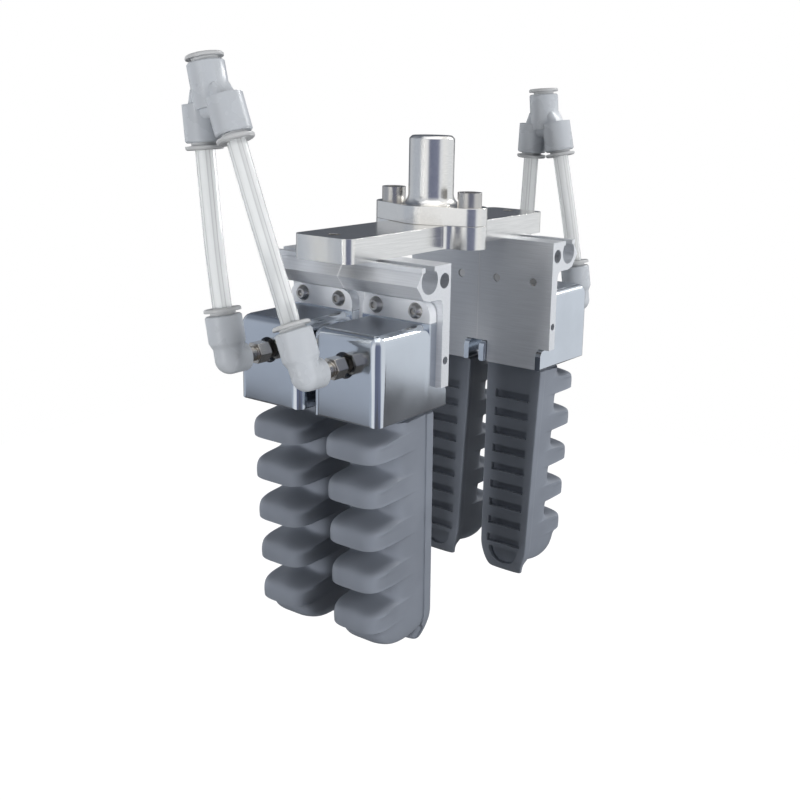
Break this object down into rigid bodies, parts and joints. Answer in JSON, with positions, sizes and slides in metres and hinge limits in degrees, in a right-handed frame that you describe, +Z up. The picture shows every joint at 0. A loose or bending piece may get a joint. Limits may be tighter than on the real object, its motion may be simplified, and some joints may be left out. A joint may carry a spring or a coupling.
{
  "type": "soft gripper",
  "caption": "Pneumatic soft gripper: bellows fingers of grey rubber hang from metal blocks and brackets under a crossbar with a round robot shaft, and air tubes run up from push-in elbows.",
  "frame": {"origin": "on the robot shaft's axis, in the middle of the length that the robot clamps, 10 mm below its top", "axes": "+Z up along the shaft, X along the crossbar, Y along the brackets"},
  "size_m": [0.1776, 0.0643, 0.1963],
  "materials": {
    "machined_aluminium": "machined, brushed top faces and bright edges",
    "extruded_aluminium": "bright extruded",
    "polished_aluminium": "satin to polished",
    "screw_steel": "plain steel",
    "silicone": "matte blue-grey silicone",
    "black_rubber": "matte",
    "nickel_brass": "nickel plated",
    "light_plastic": "light grey, glossy",
    "tube_plastic": "milky translucent"
  },
  "bodies": {
    "frame": {"robot_shaft": "machined_aluminium", "flange_screws": "screw_steel", "crossbar": "machined_aluminium", "clamp_screws_left": "screw_steel", "y_union_left": "light_plastic", "clamp_screws_right": "screw_steel", "y_union_right": "light_plastic", "bracket_left_front": "extruded_aluminium", "bracket_left_rear": "extruded_aluminium", "bracket_right_front": "extruded_aluminium", "bracket_right_rear": "extruded_aluminium", "finger_block_left_front": "polished_aluminium", "finger_block_left_rear": "polished_aluminium", "finger_block_right_front": "polished_aluminium", "finger_block_right_rear": "polished_aluminium", "block_screws_left_front": "screw_steel", "block_screws_left_rear": "screw_steel", "block_screws_right_front": "screw_steel", "block_screws_right_rear": "screw_steel", "root_insert_left_front": "machined_aluminium", "root_insert_left_rear": "machined_aluminium", "root_insert_right_front": "machined_aluminium", "root_insert_right_rear": "machined_aluminium", "finger_root_left_front": "silicone", "finger_root_left_rear": "silicone", "finger_root_right_front": "silicone", "finger_root_right_rear": "silicone", "port_seal_left_front": "black_rubber", "port_seal_left_rear": "black_rubber", "port_seal_right_front": "black_rubber", "port_seal_right_rear": "black_rubber", "fitting_stud_left_front": "nickel_brass", "fitting_stud_left_rear": "nickel_brass", "fitting_stud_right_front": "nickel_brass", "fitting_stud_right_rear": "nickel_brass", "elbow_body_left_front": "light_plastic", "elbow_body_left_rear": "light_plastic", "elbow_body_right_front": "light_plastic", "elbow_body_right_rear": "light_plastic", "air_tube_left_front": "tube_plastic", "air_tube_left_rear": "tube_plastic", "air_tube_right_front": "tube_plastic", "air_tube_right_rear": "tube_plastic"},
    "union_ring_left_rear": {"union_collar_left_rear": "light_plastic"},
    "union_ring_left_front": {"union_collar_left_front": "light_plastic"},
    "union_ring_left_supply": {"union_collar_left_supply": "light_plastic"},
    "union_ring_right_rear": {"union_collar_right_rear": "light_plastic"},
    "union_ring_right_front": {"union_collar_right_front": "light_plastic"},
    "union_ring_right_supply": {"union_collar_right_supply": "light_plastic"},
    "finger_left_front": {"soft_finger_left_front": "silicone"},
    "finger_left_rear": {"soft_finger_left_rear": "silicone"},
    "finger_right_front": {"soft_finger_right_front": "silicone"},
    "finger_right_rear": {"soft_finger_right_rear": "silicone"},
    "elbow_ring_left_front": {"release_collar_left_front": "light_plastic"},
    "elbow_ring_left_rear": {"release_collar_left_rear": "light_plastic"},
    "elbow_ring_right_front": {"release_collar_right_front": "light_plastic"},
    "elbow_ring_right_rear": {"release_collar_right_rear": "light_plastic"}
  },
  "joints": [
    {"name": "bend_left_front", "type": "hinge", "parent": "frame", "child": "finger_left_front", "pos_m": [-0.0346, -0.016, -0.0764], "axis": [0, -1, 0], "range_deg": [-4, 22], "stiffness_Nm_per_rad": 0.4},
    {"name": "bend_left_rear", "type": "hinge", "parent": "frame", "child": "finger_left_rear", "pos_m": [-0.0346, 0.016, -0.0764], "axis": [0, -1, 0], "range_deg": [-4, 22], "stiffness_Nm_per_rad": 0.4},
    {"name": "bend_right_front", "type": "hinge", "parent": "frame", "child": "finger_right_front", "pos_m": [0.0346, -0.016, -0.0764], "axis": [0, 1, 0], "range_deg": [-4, 22], "stiffness_Nm_per_rad": 0.4},
    {"name": "bend_right_rear", "type": "hinge", "parent": "frame", "child": "finger_right_rear", "pos_m": [0.0346, 0.016, -0.0764], "axis": [0, 1, 0], "range_deg": [-4, 22], "stiffness_Nm_per_rad": 0.4},
    {"name": "press_elbow_ring_left_front", "type": "slide", "parent": "frame", "child": "elbow_ring_left_front", "axis": [0, 0.3827, 0.9239], "range_m": [-0.0008, 0], "stiffness_N_per_m": 100},
    {"name": "press_elbow_ring_left_rear", "type": "slide", "parent": "frame", "child": "elbow_ring_left_rear", "axis": [0, 0.1908, 0.9816], "range_m": [-0.0008, 0], "stiffness_N_per_m": 100},
    {"name": "press_elbow_ring_right_front", "type": "slide", "parent": "frame", "child": "elbow_ring_right_front", "axis": [0, 0.165, 0.9863], "range_m": [-0.0008, 0], "stiffness_N_per_m": 100},
    {"name": "press_elbow_ring_right_rear", "type": "slide", "parent": "frame", "child": "elbow_ring_right_rear", "axis": [0, -0.2164, 0.9763], "range_m": [-0.0008, 0], "stiffness_N_per_m": 100},
    {"name": "press_union_ring_left_rear", "type": "slide", "parent": "frame", "child": "union_ring_left_rear", "axis": [0, -0.1045, -0.9945], "range_m": [-0.0008, 0], "stiffness_N_per_m": 100},
    {"name": "press_union_ring_left_front", "type": "slide", "parent": "frame", "child": "union_ring_left_front", "axis": [0, -0.3584, -0.9336], "range_m": [-0.0008, 0], "stiffness_N_per_m": 100},
    {"name": "press_union_ring_left_supply", "type": "slide", "parent": "frame", "child": "union_ring_left_supply", "axis": [0, 0.2334, 0.9724], "range_m": [-0.0008, 0], "stiffness_N_per_m": 100},
    {"name": "press_union_ring_right_rear", "type": "slide", "parent": "frame", "child": "union_ring_right_rear", "axis": [0, 0.0401, -0.9992], "range_m": [-0.0008, 0], "stiffness_N_per_m": 100},
    {"name": "press_union_ring_right_front", "type": "slide", "parent": "frame", "child": "union_ring_right_front", "axis": [0, -0.2198, -0.9755], "range_m": [-0.0008, 0], "stiffness_N_per_m": 100},
    {"name": "press_union_ring_right_supply", "type": "slide", "parent": "frame", "child": "union_ring_right_supply", "axis": [0, 0.0906, 0.9959], "range_m": [-0.0008, 0], "stiffness_N_per_m": 100}
  ],
  "couplings": [
    {"joint": "bend_left_front", "follows": "bend_left_rear", "ratio": 1},
    {"joint": "bend_right_front", "follows": "bend_left_rear", "ratio": 1},
    {"joint": "bend_right_rear", "follows": "bend_left_rear", "ratio": 1}
  ]
}
